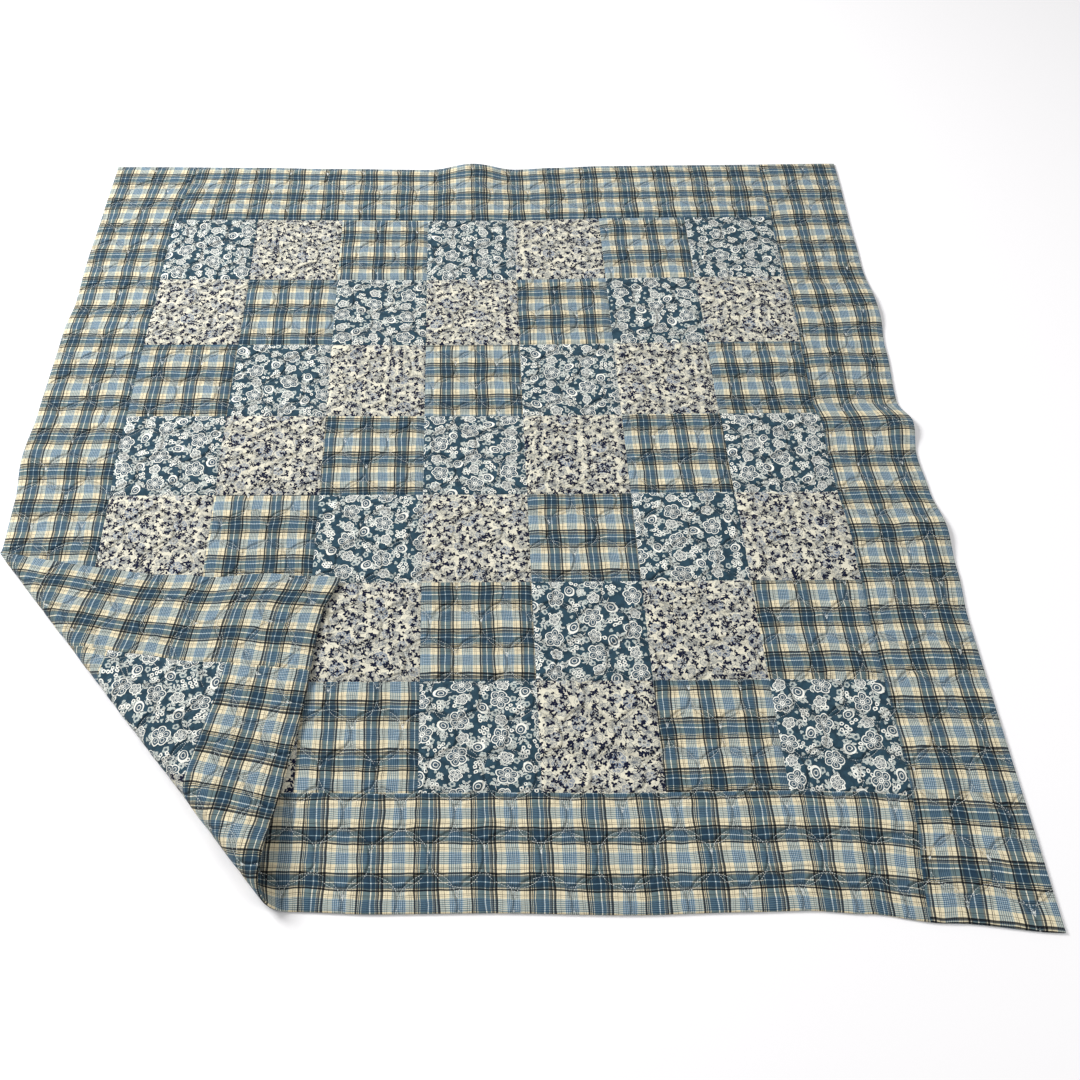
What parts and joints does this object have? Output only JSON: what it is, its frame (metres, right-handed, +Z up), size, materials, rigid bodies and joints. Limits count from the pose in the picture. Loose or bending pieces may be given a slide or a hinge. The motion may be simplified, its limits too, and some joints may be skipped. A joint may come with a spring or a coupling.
{
  "type": "patchwork quilt with one corner turned over",
  "caption": "Square patchwork quilt of plaid and flower-print patches with plaid borders, laid flat with its near left corner turned over.",
  "frame": {"origin": "middle of the pieced centre, on the underside where the quilt rests", "axes": "+Z up from the floor, +X to the right along the near hem, +Y from the near hem to the far hem; the turned-over corner is at -X, -Y"},
  "size_m": [2.269, 2.317, 0.0654],
  "materials": {
    "pieced_centre": "matte",
    "plaid_border": "matte"
  },
  "bodies": {
    "root": {"pieced_centre": "pieced_centre", "border_far": "plaid_border", "border_near": "plaid_border", "border_left": "plaid_border", "border_right": "plaid_border"}
  },
  "joints": []
}
